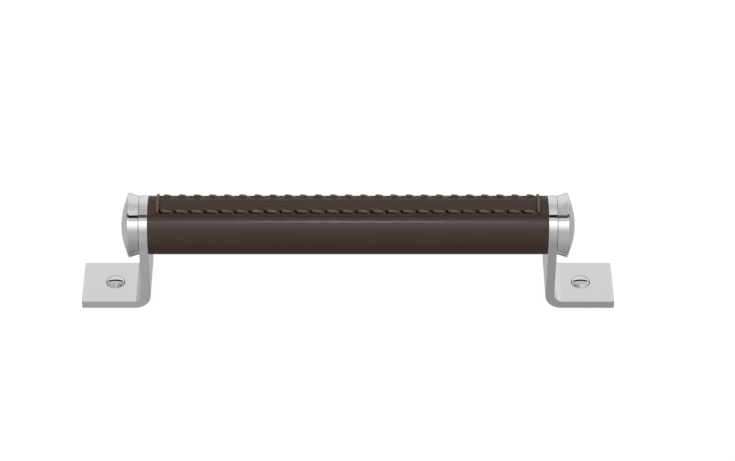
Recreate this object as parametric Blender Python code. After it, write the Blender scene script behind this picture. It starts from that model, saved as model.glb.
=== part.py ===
"""Leather pull handle: a stitched leather bar on two bent strip brackets with turned end caps.

Metres, +Z up. The handle is fixed to the surface Z = 0. X runs along the bar, -Y is the
front, and the origin lies half way between the two foot screws.
"""

import math

import bmesh
import bpy
from mathutils import Matrix, Vector

# Whole handle
SCREW_SPACING = 0.160  # centre to centre of the two foot screws
GRIP_LENGTH = 0.1347  # between the inner faces of the two brackets
AXIS_HEIGHT = 0.029  # bar axis above the mounting surface
SEAT_GAP = 0.0003  # left between pieces that seat on each other

# Bracket, bent from flat strip
STRIP_WIDTH = 0.020
STRIP_THICKNESS = 0.003
STRIP_CHAMFER = 0.0003
BEND_INNER_RADIUS = 0.0026
FOOT_MARGIN = 0.011  # foot beyond the centre of its screw

# Bar under the leather, and the studs that join it to the caps
ROD_RADIUS = 0.008
ROD_CHAMFER = 0.0004
STUD_RADIUS = 0.003
STUD_CHAMFER = 0.0005
STUD_DEPTH_IN_ROD = 0.010
STUD_DEPTH_IN_CAP = 0.0032

# End cap, turned
CAP_NECK_STEP = 0.0001  # neck smaller than the round end that it covers
CAP_FLARE = 0.0011  # rim larger than the neck
CAP_FLARE_LENGTH = 0.0027
CAP_FLARE_BOW = 0.00008  # hollow of the flare's side
CAP_RIM_WIDTH = 0.0010
CAP_RIM_ROUNDING = 0.00035
CAP_LIP = 0.0004  # flat ring between the rim and the dome
CAP_DOME_HEIGHT = 0.0023

# Foot screw: slotted, with a raised countersunk head
SCREW_HEAD_RADIUS = 0.00315
SCREW_HEAD_EDGE = 0.0002
SCREW_DOME_HEIGHT = 0.0008
SCREW_SHANK_RADIUS = 0.00175
SCREW_LENGTH = 0.016
SCREW_TIP_LENGTH = 0.003
SLOT_WIDTH = 0.0008
SLOT_DEPTH = 0.0011

# Leather strip, rolled round the bar and closed by a butt seam
LEATHER_THICKNESS = 0.00165
SEAM_ANGLE = math.radians(92)  # from the front, up over the bar
SEAM_GAP = 0.0004
SEAM_ROUNDING = 0.0005

# Stitching: two rows and a cross stitch at each end, all one thread
THREAD_RADIUS = 0.0005
THREAD_CLEARANCE = 0.00015
THREAD_SQUEEZE = 0.8  # share of the thread's size that is left inside a hole
STITCH_PITCH = 0.00508
STITCH_SLANT = 0.00012  # sideways swing of a stitch from its row
ROW_OFFSET = 0.00425  # along the leather, from the seam to each row
ROW_MARGIN = 0.00385  # from the bracket to the last hole of a row
CROSS_STITCH_SHIFT = 0.0005  # cross stitch beyond the last hole

# Fineness of the round shapes
SEGMENTS = 40
SMALL_SEGMENTS = 24
BEND_STEPS = 8
STITCH_STEPS = 8  # thread sections from one hole to the next
STITCH_STEEPNESS = 6
MERGE_DISTANCE = 1e-7
SMOOTH_ANGLE = math.radians(35)

# Worked out from the sizes above
INNER_FACE = GRIP_LENGTH / 2
OUTER_FACE = INNER_FACE + STRIP_THICKNESS
BEND_HEIGHT = STRIP_THICKNESS + BEND_INNER_RADIUS
ROD_END = INNER_FACE - SEAT_GAP
CAP_FACE = OUTER_FACE + SEAT_GAP
LEATHER_INNER_RADIUS = ROD_RADIUS + SEAT_GAP
GRIP_RADIUS = LEATHER_INNER_RADIUS + LEATHER_THICKNESS
ROW_END = INNER_FACE - ROW_MARGIN
STITCH_COUNT = max(1, round(2 * ROW_END / STITCH_PITCH))
ROW_PITCH = 2 * ROW_END / STITCH_COUNT
THREAD_CREST = THREAD_RADIUS + THREAD_CLEARANCE
THREAD_DIP = ROD_RADIUS + SEAT_GAP + THREAD_RADIUS - GRIP_RADIUS

# Stands a flat (y, z) outline across the bar
ACROSS_THE_BAR = Matrix(((0, 0, 1, 0), (1, 0, 0, 0), (0, 1, 0, 0), (0, 0, 0, 1)))

FINISHES = {
    "chrome": ((0.82, 0.82, 0.83), 1.0, 0.08),
    "steel": ((0.55, 0.55, 0.56), 1.0, 0.35),
    "leather": ((0.051, 0.032, 0.027), 0.0, 0.5),
    "thread": ((0.138, 0.100, 0.076), 0.0, 0.7),
}


def finish(obj, kind):
    """Gives the object a Principled material of its own."""
    color, metallic, roughness = FINISHES[kind]
    material = bpy.data.materials.new(f"{obj.name}_{kind}")
    material.use_nodes = True
    shader = material.node_tree.nodes["Principled BSDF"]
    shader.inputs["Base Color"].default_value = (*color, 1.0)
    shader.inputs["Metallic"].default_value = metallic
    shader.inputs["Roughness"].default_value = roughness
    material.diffuse_color = (*color, 1.0)
    obj.data.materials.append(material)


def add_object(name, bm, kind, parent):
    """Turns the bmesh into a named, smooth-shaded object."""
    mesh = bpy.data.meshes.new(name)
    bm.to_mesh(mesh)
    bm.free()
    mesh.shade_smooth()
    mesh.set_sharp_from_angle(angle=SMOOTH_ANGLE)
    obj = bpy.data.objects.new(name, mesh)
    bpy.context.collection.objects.link(obj)
    obj.parent = parent
    finish(obj, kind)
    return obj


def add_cutter(name, bm, parent):
    """A helper that only cuts other pieces."""
    bmesh.ops.recalc_face_normals(bm, faces=bm.faces)
    mesh = bpy.data.meshes.new(name)
    bm.to_mesh(mesh)
    bm.free()
    cutter = bpy.data.objects.new(name, mesh)
    bpy.context.collection.objects.link(cutter)
    cutter.parent = parent
    cutter.hide_render = True
    cutter.display_type = "WIRE"
    return cutter


def cut(obj, cutter):
    modifier = obj.modifiers.new(f"cut_{cutter.name}", "BOOLEAN")
    modifier.operation = "DIFFERENCE"
    modifier.solver = "EXACT"
    modifier.object = cutter


def arc(centre, radius, start, end, steps):
    """Points on a circle from one angle to another, both ends included."""
    angles = [start + (end - start) * step / steps for step in range(steps + 1)]
    return [
        (centre[0] + radius * math.cos(angle), centre[1] + radius * math.sin(angle))
        for angle in angles
    ]


def bowed(start, end, bow, steps):
    """Points from start to end that leave the straight line by bow at the middle, to its left."""
    along = Vector(end) - Vector(start)
    side = Vector((-along.y, along.x)).normalized()
    points = []
    for step in range(steps + 1):
        share = step / steps
        points.append(tuple(Vector(start) + along * share + side * bow * 4 * share * (1 - share)))
    return points


def turned(profile, segments):
    """Solid of revolution about Z, from (radius, height) points that start and end on the axis."""
    bm = bmesh.new()
    points = [bm.verts.new((radius, 0, height)) for radius, height in profile]
    edges = [bm.edges.new(pair) for pair in zip(points, points[1:])]
    bmesh.ops.spin(
        bm,
        geom=points + edges,
        cent=(0, 0, 0),
        axis=(0, 0, 1),
        angle=math.tau,
        steps=segments,
        use_merge=True,
    )
    bmesh.ops.remove_doubles(bm, verts=bm.verts, dist=MERGE_DISTANCE)
    bmesh.ops.recalc_face_normals(bm, faces=bm.faces)
    return bm


def prism(outline, place, low, high):
    """Straight-sided solid over a flat outline, from low to high, put in place by a matrix."""
    bm = bmesh.new()
    base = [bm.verts.new(place @ Vector((x, y, low))) for x, y in outline]
    face = bm.faces.new(base)
    moved = bmesh.ops.extrude_face_region(bm, geom=[face])["geom"]
    rise = place.to_3x3() @ Vector((0, 0, high - low))
    bmesh.ops.translate(bm, vec=rise, verts=[v for v in moved if isinstance(v, bmesh.types.BMVert)])
    bmesh.ops.recalc_face_normals(bm, faces=bm.faces)
    return bm


def lies_on(face, axis, value):
    return all(abs(vert.co[axis] - value) < MERGE_DISTANCE for vert in face.verts)


def drawn_out(bm, face):
    """Extrudes an end face in place and returns the new one, ready to be moved."""
    made = bmesh.ops.extrude_discrete_faces(bm, faces=[face])
    return made["faces"][0]


def bracket_blank():
    """Right-hand bracket: an upright leg with a full round top, bent once into a foot."""
    half = STRIP_WIDTH / 2
    outline = [(-half, BEND_HEIGHT), (half, BEND_HEIGHT)]
    outline += arc((0, AXIS_HEIGHT), half, 0, math.pi, SEGMENTS // 2)
    bm = prism(outline, ACROSS_THE_BAR, INNER_FACE, OUTER_FACE)
    end = next(face for face in bm.faces if lies_on(face, 2, BEND_HEIGHT))
    bend_axis = (OUTER_FACE + BEND_INNER_RADIUS, 0, BEND_HEIGHT)
    turn = Matrix.Rotation(-math.pi / 2 / BEND_STEPS, 3, "Y")
    for _ in range(BEND_STEPS):
        end = drawn_out(bm, end)
        bmesh.ops.rotate(bm, cent=bend_axis, matrix=turn, verts=end.verts)
    end = drawn_out(bm, end)
    reach = SCREW_SPACING / 2 + FOOT_MARGIN - bend_axis[0]
    bmesh.ops.translate(bm, vec=(reach, 0, 0), verts=end.verts)
    bmesh.ops.recalc_face_normals(bm, faces=bm.faces)
    return bm


def head_profile(gap):
    """Side of the countersunk head, grown by a gap, as (radius, height) below the foot's top."""
    rim = SCREW_HEAD_RADIUS + gap
    shank = SCREW_SHANK_RADIUS + gap
    return [(rim, -SCREW_HEAD_EDGE), (shank, -SCREW_HEAD_EDGE - rim + shank)]


def make_bracket(side, name, parent):
    bm = bracket_blank()
    if side < 0:
        bmesh.ops.scale(bm, vec=(-1, 1, 1), verts=bm.verts)
        bmesh.ops.reverse_faces(bm, faces=bm.faces)
    bracket = add_object(name, bm, "chrome", parent)
    chamfer = bracket.modifiers.new("edge_chamfer", "BEVEL")
    chamfer.width = STRIP_CHAMFER
    chamfer.segments = 1
    chamfer.limit_method = "ANGLE"
    chamfer.angle_limit = SMOOTH_ANGLE

    hole_radius = STUD_RADIUS + SEAT_GAP
    past = STRIP_THICKNESS
    stud_hole = [(0, -past), (hole_radius, -past), (hole_radius, 2 * past), (0, 2 * past)]
    stud_cutter = add_cutter(f"{name}_stud_hole", turned(stud_hole, SMALL_SEGMENTS), parent)
    stud_cutter.rotation_euler.y = side * math.pi / 2
    stud_cutter.location = (side * INNER_FACE, 0, AXIS_HEIGHT)
    cut(bracket, stud_cutter)

    head = head_profile(SEAT_GAP)
    sink = [(0, past), (head[0][0], past), *head, (head[1][0], -2 * past), (0, -2 * past)]
    sink_cutter = add_cutter(f"{name}_screw_hole", turned(sink, SMALL_SEGMENTS), parent)
    sink_cutter.location = (side * SCREW_SPACING / 2, 0, STRIP_THICKNESS)
    cut(bracket, sink_cutter)


def cap_profile():
    """(radius, height) from the bottom of the tapped hole, round the flare and rim, to the dome."""
    hole_radius = STUD_RADIUS + SEAT_GAP
    hole_depth = STUD_DEPTH_IN_CAP + SEAT_GAP
    neck = STRIP_WIDTH / 2 - CAP_NECK_STEP
    rim = neck + CAP_FLARE
    rim_height = CAP_FLARE_LENGTH + CAP_RIM_WIDTH
    rounding = CAP_RIM_ROUNDING
    dome = rim - rounding - CAP_LIP
    ball = (dome**2 + CAP_DOME_HEIGHT**2) / (2 * CAP_DOME_HEIGHT)
    opening = math.asin(dome / ball)
    profile = [(0, hole_depth), (hole_radius, hole_depth), (hole_radius, 0)]
    profile += bowed((neck, 0), (rim, CAP_FLARE_LENGTH), CAP_FLARE_BOW, 3)
    profile += arc((rim - rounding, rim_height - rounding), rounding, 0, math.pi / 2, 3)
    dome_centre = (0, rim_height + CAP_DOME_HEIGHT - ball)
    profile += arc(dome_centre, ball, math.pi / 2 - opening, math.pi / 2, 5)
    profile[-1] = (0, rim_height + CAP_DOME_HEIGHT)
    return profile


def make_cap(side, name, parent):
    cap = add_object(name, turned(cap_profile(), SEGMENTS), "chrome", parent)
    cap.rotation_euler.y = side * math.pi / 2
    cap.location = (side * CAP_FACE, 0, AXIS_HEIGHT)


def make_stud(side, name, parent):
    start = ROD_END - STUD_DEPTH_IN_ROD
    length = CAP_FACE + STUD_DEPTH_IN_CAP - start
    point = STUD_RADIUS - STUD_CHAMFER
    profile = [
        (0, 0),
        (point, 0),
        (STUD_RADIUS, STUD_CHAMFER),
        (STUD_RADIUS, length - STUD_CHAMFER),
        (point, length),
        (0, length),
    ]
    stud = add_object(name, turned(profile, SMALL_SEGMENTS), "steel", parent)
    stud.rotation_euler.y = side * math.pi / 2
    stud.location = (side * start, 0, AXIS_HEIGHT)


def make_rod(parent):
    """Round bar with a blind tapped hole in each end."""
    hole_radius = STUD_RADIUS + SEAT_GAP
    bottom = ROD_END - STUD_DEPTH_IN_ROD - SEAT_GAP
    half = [
        (0, bottom),
        (hole_radius, bottom),
        (hole_radius, ROD_END),
        (ROD_RADIUS - ROD_CHAMFER, ROD_END),
        (ROD_RADIUS, ROD_END - ROD_CHAMFER),
    ]
    other_half = [(radius, -height) for radius, height in reversed(half)]
    rod = add_object("core_rod", turned(half + other_half, SEGMENTS), "steel", parent)
    rod.rotation_euler.y = math.pi / 2
    rod.location.z = AXIS_HEIGHT


def make_foot_screw(side, name, parent):
    """Raised head and cone in the countersink, and a plain shank that runs into the door."""
    ball = (SCREW_HEAD_RADIUS**2 + SCREW_DOME_HEIGHT**2) / (2 * SCREW_DOME_HEIGHT)
    opening = math.asin(SCREW_HEAD_RADIUS / ball)
    dome_centre = (0, SCREW_DOME_HEIGHT - ball)
    dome = arc(dome_centre, ball, math.pi / 2, math.pi / 2 - opening, 4)
    dome[0] = (0, SCREW_DOME_HEIGHT)
    profile = dome + head_profile(0)
    profile += [(SCREW_SHANK_RADIUS, SCREW_TIP_LENGTH - SCREW_LENGTH), (0, -SCREW_LENGTH)]
    screw = add_object(name, turned(profile, SMALL_SEGMENTS), "chrome", parent)
    screw.location = (side * SCREW_SPACING / 2, 0, STRIP_THICKNESS)

    reach = 2 * SCREW_HEAD_RADIUS
    half_width = SLOT_WIDTH / 2
    outline = [
        (-reach, -half_width),
        (reach, -half_width),
        (reach, half_width),
        (-reach, half_width),
    ]
    floor = SCREW_DOME_HEIGHT - SLOT_DEPTH
    slot = prism(outline, Matrix(), floor, SCREW_DOME_HEIGHT + SLOT_DEPTH)
    cutter = add_cutter(f"{name}_slot", slot, parent)
    cutter.location = screw.location
    cut(screw, cutter)


def on_leather(x, across, height):
    """Point at x along the bar, across the leather from the seam (+ is rearward), above its surface."""
    angle = SEAM_ANGLE + across / GRIP_RADIUS
    radius = GRIP_RADIUS + height
    return Vector((x, -radius * math.cos(angle), AXIS_HEIGHT + radius * math.sin(angle)))


def leather_section():
    """C-shaped section as (y, z): lips rounded at the seam, round outside, round inside."""
    half_turn = math.pi * GRIP_RADIUS
    lip = SEAM_GAP / 2
    corner = (lip + SEAM_ROUNDING, -SEAM_ROUNDING)
    outside = arc(corner, SEAM_ROUNDING, math.pi, math.pi / 2, 3)
    steps = SEGMENTS * 3 // 4
    start = lip + SEAM_ROUNDING
    outside += [(start + (half_turn - start) * step / steps, 0) for step in range(1, steps)]
    inside = [
        (half_turn + (lip - half_turn) * step / steps, -LEATHER_THICKNESS)
        for step in range(1, steps + 1)
    ]
    rear = outside + [(half_turn, 0)]
    front = [(-across, height) for across, height in reversed(outside)]
    front_inside = [(-across, height) for across, height in reversed(inside)]
    middle = [(half_turn, -LEATHER_THICKNESS)]
    points = rear + front + front_inside + middle + inside
    return [on_leather(0, across, height).yz for across, height in points]


def rise(share):
    """How far the thread has come out of a hole, 0 to 1, at a share of the pitch away from it."""
    return 1 - math.cos(math.pi * min(share, 0.5)) ** STITCH_STEEPNESS


def thread_height(share):
    return THREAD_DIP + (THREAD_CREST - THREAD_DIP) * rise(share)


def hole_reach():
    """Half the length of a stitch hole: where the thread's underside clears the surface."""
    samples = 200
    step = ROW_PITCH / 2 / samples
    reach = THREAD_RADIUS
    for index in range(samples):
        low = thread_height(index / samples / 2)
        slope = (thread_height((index + 1) / samples / 2) - low) / step
        length = math.hypot(1, slope)
        if low - THREAD_RADIUS / length < THREAD_CLEARANCE / 2:
            reach = index * step + THREAD_RADIUS * slope / length
    return reach + THREAD_CLEARANCE


def row_hole_outline():
    """Slot along the row, with its corners cut off."""
    long = hole_reach()
    wide = THREAD_RADIUS + THREAD_CLEARANCE + STITCH_SLANT
    corner = wide / 2
    quarter = [(long, corner), (long - corner, wide)]
    left = [(-x, y) for x, y in reversed(quarter)]
    top = quarter + left
    return top + [(-x, -y) for x, y in top]


def end_hole_outline():
    """Last hole of a row, as (outward along the bar, towards the seam): room for both strands."""
    long = hole_reach()
    wide = THREAD_RADIUS + THREAD_CLEARANCE + STITCH_SLANT
    corner = wide / 2
    outer = CROSS_STITCH_SHIFT + wide
    return [
        (-long, -corner),
        (corner - long, -wide),
        (CROSS_STITCH_SHIFT, -wide),
        (outer, 0),
        (outer, long - corner),
        (outer - corner, long),
        (CROSS_STITCH_SHIFT - corner, long),
        (corner - long, wide),
        (-long, corner),
    ]


def hole_place(x, row):
    """Frame on the leather at a hole: x outward along the bar, y towards the seam, z outwards."""
    angle = SEAM_ANGLE + row * ROW_OFFSET / GRIP_RADIUS
    along = Vector((math.copysign(1, x), 0, 0))
    towards_seam = -row * Vector((0, math.sin(angle), math.cos(angle)))
    outward = Vector((0, -math.cos(angle), math.sin(angle)))
    place = Matrix((along, towards_seam, outward)).transposed().to_4x4()
    place.translation = on_leather(x, row * ROW_OFFSET, 0)
    return place


def stitch_holes():
    """One mesh that holds a cutter for every hole of both rows."""
    holes = bmesh.new()
    low = -LEATHER_THICKNESS - SEAT_GAP / 2
    high = LEATHER_THICKNESS
    for row in (-1, 1):
        for index in range(STITCH_COUNT + 1):
            x = -ROW_END + index * ROW_PITCH
            at_end = index in (0, STITCH_COUNT)
            outline = end_hole_outline() if at_end else row_hole_outline()
            hole = prism(outline, hole_place(x, row), low, high)
            piece = bpy.data.meshes.new("hole")
            hole.to_mesh(piece)
            hole.free()
            holes.from_mesh(piece)
            bpy.data.meshes.remove(piece)
    return holes


def make_leather(parent):
    bm = prism(leather_section(), ACROSS_THE_BAR, -ROD_END, ROD_END)
    leather = add_object("leather_wrap", bm, "leather", parent)
    cut(leather, add_cutter("stitch_holes", stitch_holes(), parent))


def step_share(step):
    """Share of the pitch at a thread section, closer together near the holes."""
    share = step / STITCH_STEPS
    near = 0.5 * (2 * min(share, 1 - share)) ** 1.25
    return near if share <= 0.5 else 1 - near


def row_path(row, way):
    """(point, rise) along one row, way +1 for left to right, its first hole included."""
    path = []
    for stitch in range(STITCH_COUNT):
        for step in range(STITCH_STEPS):
            share = step_share(step)
            swing = way * STITCH_SLANT * math.sin(math.tau * share)
            out = min(share, 1 - share)
            x = way * (-ROW_END + (stitch + share) * ROW_PITCH)
            across = row * ROW_OFFSET + swing
            path.append((on_leather(x, across, thread_height(out)), rise(out)))
    return path


def cross_path(side, start):
    """(point, rise) from the row on one side of the seam to the other, its first hole included."""
    span = 2 * ROW_OFFSET
    near = [step_share(step) * ROW_PITCH for step in range(STITCH_STEPS // 2 + 1)]
    middle = span / 2
    distances = near + [middle] + [span - distance for distance in reversed(near[1:])]
    path = []
    for distance in distances:
        out = min(distance, span - distance) / ROW_PITCH
        x = side * (ROW_END + CROSS_STITCH_SHIFT * rise(out))
        across = start * (ROW_OFFSET - distance)
        path.append((on_leather(x, across, thread_height(out)), rise(out)))
    return path


def make_thread(parent):
    """One thread all the way round: rear row, right cross stitch, front row, left cross stitch."""
    path = row_path(1, 1) + cross_path(1, 1) + row_path(-1, -1) + cross_path(-1, -1)
    curve = bpy.data.curves.new("seam_thread", "CURVE")
    curve.dimensions = "3D"
    curve.bevel_depth = THREAD_RADIUS
    curve.bevel_resolution = 1
    curve.use_fill_caps = True
    spline = curve.splines.new("POLY")
    spline.points.add(len(path) - 1)
    for place, (point, out) in zip(spline.points, path):
        place.co = (*point, 1)
        place.radius = THREAD_SQUEEZE + (1 - THREAD_SQUEEZE) * out
    spline.use_cyclic_u = True
    spline.use_smooth = True
    thread = bpy.data.objects.new("seam_thread", curve)
    bpy.context.collection.objects.link(thread)
    thread.parent = parent
    finish(thread, "thread")


def main():
    for obj in list(bpy.data.objects):
        bpy.data.objects.remove(obj, do_unlink=True)
    handle = bpy.data.objects.new("pull_handle", None)
    bpy.context.collection.objects.link(handle)
    make_rod(handle)
    make_leather(handle)
    make_thread(handle)
    for side, word in ((-1, "left"), (1, "right")):
        make_bracket(side, f"{word}_bracket", handle)
        make_cap(side, f"{word}_end_cap", handle)
        make_stud(side, f"{word}_stud", handle)
        make_foot_screw(side, f"{word}_foot_screw", handle)


main()
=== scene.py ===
# %% [markdown]
# # A leather pull handle
# The real handle is a round steel bar in a stitched leather sleeve, held by two brackets that are
# bent from polished flat strip, with a turned cap screwed on each end. The solids are loaded as a
# fixed frame, and every surface that shows is then made again here with its true finish. Places
# and main sizes are read from the frame's own pieces, so what is made here always fits them.

# %% Load the frame
import math

import bpy
import numpy as np
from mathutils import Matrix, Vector


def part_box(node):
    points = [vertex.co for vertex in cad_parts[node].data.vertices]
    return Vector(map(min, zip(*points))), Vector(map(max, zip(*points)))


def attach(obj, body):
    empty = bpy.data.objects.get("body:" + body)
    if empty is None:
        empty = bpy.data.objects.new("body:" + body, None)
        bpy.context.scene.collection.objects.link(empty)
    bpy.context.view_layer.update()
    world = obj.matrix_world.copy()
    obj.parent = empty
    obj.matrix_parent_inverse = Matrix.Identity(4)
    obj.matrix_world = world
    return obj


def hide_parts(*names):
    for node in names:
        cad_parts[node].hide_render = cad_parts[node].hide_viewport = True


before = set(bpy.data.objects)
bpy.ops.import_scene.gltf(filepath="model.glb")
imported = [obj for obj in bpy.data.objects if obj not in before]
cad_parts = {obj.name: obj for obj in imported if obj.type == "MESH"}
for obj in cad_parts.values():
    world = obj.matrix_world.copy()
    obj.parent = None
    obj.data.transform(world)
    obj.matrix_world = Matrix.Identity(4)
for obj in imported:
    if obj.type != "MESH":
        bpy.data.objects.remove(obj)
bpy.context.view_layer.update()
print("frame nodes:", ", ".join(sorted(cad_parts)))

# %% [markdown]
# ## Sizes
# The bracket gives the strip's width and the places of its faces, and its full round top gives the
# height of the bar's axis. The sizes that a box can't tell, such as the strip's thickness, are
# named here once.

# %% Sizes from the frame
MM = 0.001
SIDES = ((-1, "left"), (1, "right"))
STRIP_LOW, STRIP_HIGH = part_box("right_bracket")
CAP_LOW, CAP_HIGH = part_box("right_end_cap")
SCREW_LOW, SCREW_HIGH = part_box("right_foot_screw")
STRIP_WIDTH = STRIP_HIGH.y - STRIP_LOW.y
STRIP_THICKNESS = 3.0 * MM
STRIP_EDGE = 0.15 * MM
INNER_FACE = STRIP_LOW.x
OUTER_FACE = INNER_FACE + STRIP_THICKNESS
FOOT_END = STRIP_HIGH.x
AXIS_HEIGHT = STRIP_HIGH.z - STRIP_WIDTH / 2
BEND_INNER_RADIUS = 2.6 * MM
SCREW_X = (SCREW_LOW.x + SCREW_HIGH.x) / 2
GRIP_RADIUS = 9.95 * MM
LEATHER_THICKNESS = 1.65 * MM
print(f"bar axis {AXIS_HEIGHT / MM:.1f} mm up, brackets {2 * INNER_FACE / MM:.1f} mm apart")

# %% [markdown]
# ## From arrays to a mesh
# Every new piece is a grid of points worked out as whole arrays, in rows and columns. A closed
# piece has rows or columns that end where they began, or that shrink to one point. Welding equal
# points closes those seams and poles, and a four-sided face with two welded corners becomes a
# triangle. The sign of the volume tells whether the faces point outwards.

# %% Grids and welding
WELD = 1e-7


def add_object(name, data):
    obj = bpy.data.objects.new(name, data)
    bpy.context.scene.collection.objects.link(obj)
    return obj


def grid_faces(points):
    """Quads of a grid, where point (row, column) has the number row * columns + column."""
    rows, columns = points.shape[:2]
    row, column = np.meshgrid(np.arange(rows - 1), np.arange(columns - 1), indexing="ij")
    first = (row * columns + column).ravel()
    return np.stack([first, first + columns, first + columns + 1, first + 1], axis=1)


def end_faces(start, outer, inner):
    """Quads that close a flat end, between its outer ring and the inner one that runs back."""
    j = np.arange(outer)
    partner = outer + inner - 1 - np.round(j * (inner - 1) / (outer - 1)).astype(int)
    return start + np.stack([j[:-1], j[1:], partner[1:], partner[:-1]], axis=1)


def outward(points, faces):
    """The faces, turned round if the volume they enclose comes out negative."""
    a, b, c, d = (points[faces[:, k]] for k in range(4))
    volume = np.einsum("ij,ij->i", a, np.cross(b, c) + np.cross(c, d)).sum()
    return faces if volume > 0 else faces[:, ::-1]


def make_piece(name, points, faces, uv=None, sharp=40, values=None):
    """A smooth-shaded object from points (n, 3), quads, an optional uv (n, 2) and named values (n).

    Edges that turn by more than `sharp` degrees stay hard.
    """
    points = points.reshape(-1, 3)
    faces = outward(points, faces)
    keys = np.round(points / WELD).astype(np.int64)
    _, first, number = np.unique(keys, axis=0, return_index=True, return_inverse=True)
    welded = number.reshape(-1)[faces]
    same = welded == np.roll(welded, -1, axis=1)
    whole, single = (same.sum(axis=1) == count for count in (0, 1))
    keep = ~same[single]
    quads, triangles = welded[whole], welded[single][keep].reshape(-1, 3)
    sources = np.concatenate([faces[whole].ravel(), faces[single][keep]])
    mesh = bpy.data.meshes.new(name)
    mesh.from_pydata(points[first].tolist(), [], quads.tolist() + triangles.tolist())
    if uv is not None:
        layer = mesh.uv_layers.new(name="UVMap")
        layer.data.foreach_set("uv", uv.reshape(-1, 2)[sources].astype(np.float32).ravel())
    for title, value in (values or {}).items():
        layer = mesh.attributes.new(title, "FLOAT", "POINT")
        layer.data.foreach_set("value", value.reshape(-1)[first].astype(np.float32))
    mesh.validate()
    mesh.shade_smooth()
    mesh.set_sharp_from_angle(angle=math.radians(sharp))
    obj = add_object(name, mesh)
    print(f"{name}: {len(first)} points, {2 * len(quads) + len(triangles)} triangles")
    return obj


def carve(obj, *cutters, sharp=30):
    """Cuts closed pieces out of obj, keeps the result as its mesh and removes the cutters."""
    for cutter in cutters:
        modifier = obj.modifiers.new("carve", "BOOLEAN")
        modifier.operation = "DIFFERENCE"
        modifier.solver = "EXACT"
        modifier.object = cutter
    graph = bpy.context.evaluated_depsgraph_get()
    carved = bpy.data.meshes.new_from_object(obj.evaluated_get(graph))
    obj.modifiers.clear()
    obj.data = carved
    carved.shade_smooth()
    carved.set_sharp_from_angle(angle=math.radians(sharp))
    for cutter in cutters:
        bpy.data.objects.remove(cutter, do_unlink=True)
    return obj


# %% [markdown]
# ## Shader sums in plain Python
# A material is a tree of nodes, and most of them only add, multiply or compare. `Signal` wraps a
# node's output and overloads the signs, so `1 - mask * 0.3` builds the two Math nodes by itself.
# Every other node comes from `Recipe.node`, which sets the node's settings first and its sockets
# after that.

# %% Signal and Recipe
class Signal:
    """One output of a node, usable in sums."""

    def __init__(self, recipe, socket):
        self.recipe = recipe
        self.socket = socket

    def math(self, operation, *others):
        return self.recipe.math(operation, self, *others)

    def __add__(self, other):
        return self.math("ADD", other)

    def __sub__(self, other):
        return self.math("SUBTRACT", other)

    def __rsub__(self, other):
        return self.recipe.math("SUBTRACT", other, self)

    def __mul__(self, other):
        return self.math("MULTIPLY", other)

    def __truediv__(self, other):
        return self.math("DIVIDE", other)

    __radd__, __rmul__ = __add__, __mul__


class Recipe:
    """The node tree of a material or of the world."""

    def __init__(self, owner):
        owner.use_nodes = True
        self.tree = owner.node_tree
        self.tree.nodes.clear()

    def node(self, kind, settings=None, sockets=None, output=0):
        """Adds a node: its settings first, then the values or links of its sockets."""
        made = self.tree.nodes.new(kind)
        for key, value in (settings or {}).items():
            if key == "stops":
                set_stops(made.color_ramp, value)
            else:
                setattr(made, key, value)
        for key, value in (sockets or {}).items():
            if isinstance(value, Signal):
                self.tree.links.new(value.socket, made.inputs[key])
            else:
                made.inputs[key].default_value = value
        return Signal(self, made.outputs[output]) if made.outputs else made

    def math(self, operation, *values):
        """Sum of numbers."""
        return self.node("ShaderNodeMath", {"operation": operation}, dict(enumerate(values)))

    def vector(self, operation, *values):
        """Sum of vectors or of colours."""
        return self.node("ShaderNodeVectorMath", {"operation": operation}, dict(enumerate(values)))

    def mix(self, share, first, second):
        """Colour between first and second."""
        settings = {"data_type": "RGBA"}
        return self.node("ShaderNodeMix", settings, {0: share, 6: first, 7: second}, 2)

    def split(self, vector):
        """The three numbers of a vector."""
        made = self.node("ShaderNodeSeparateXYZ", None, {0: vector})
        return tuple(Signal(self, socket) for socket in made.socket.node.outputs)

    def value_of(self, title):
        """A value that was stored on the mesh under this name."""
        return self.node("ShaderNodeAttribute", {"attribute_name": title}, None, 2)

    def between(self, value, low, high, least=0.0):
        """Smooth step from least at low to 1 at high."""
        settings = {"interpolation_type": "SMOOTHSTEP"}
        sockets = {0: value, 1: low, 2: high, 3: least}
        return self.node("ShaderNodeMapRange", settings, sockets)


def grey(level):
    """The colour with this level in red, green and blue."""
    return (level, level, level, 1.0)


def set_stops(ramp, stops):
    """Puts (position, level) stops on a colour ramp."""
    while len(ramp.elements) < len(stops):
        ramp.elements.new(1.0)
    for element, (position, level) in zip(ramp.elements, stops):
        element.position = position
        element.color = grey(level)


def linear(red, green, blue):
    """The linear colour that a screen shows as these 0 to 255 values."""
    share = np.array([red, green, blue]) / 255
    values = np.where(share <= 0.04045, share / 12.92, ((share + 0.055) / 1.055) ** 2.4)
    return (*values.tolist(), 1.0)


# %% [markdown]
# ## Camera
# The photograph is taken from the front and 41 degrees up, through a long lens that hardly
# narrows the far side. The lens is found from how much the feet spread from their back edge to
# their front edge. The small shift puts the handle a little left of the middle, as it is framed.

# %% Camera
PHOTO_WIDTH = 735
PHOTO_CENTRE = (367.5, 230.5)
BAR_CENTRE_PIXEL = (348.05, 225.01)
FOCAL_PIXELS = 2913.0
ELEVATION = math.radians(41.1)
DISTANCE = 0.986


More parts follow.
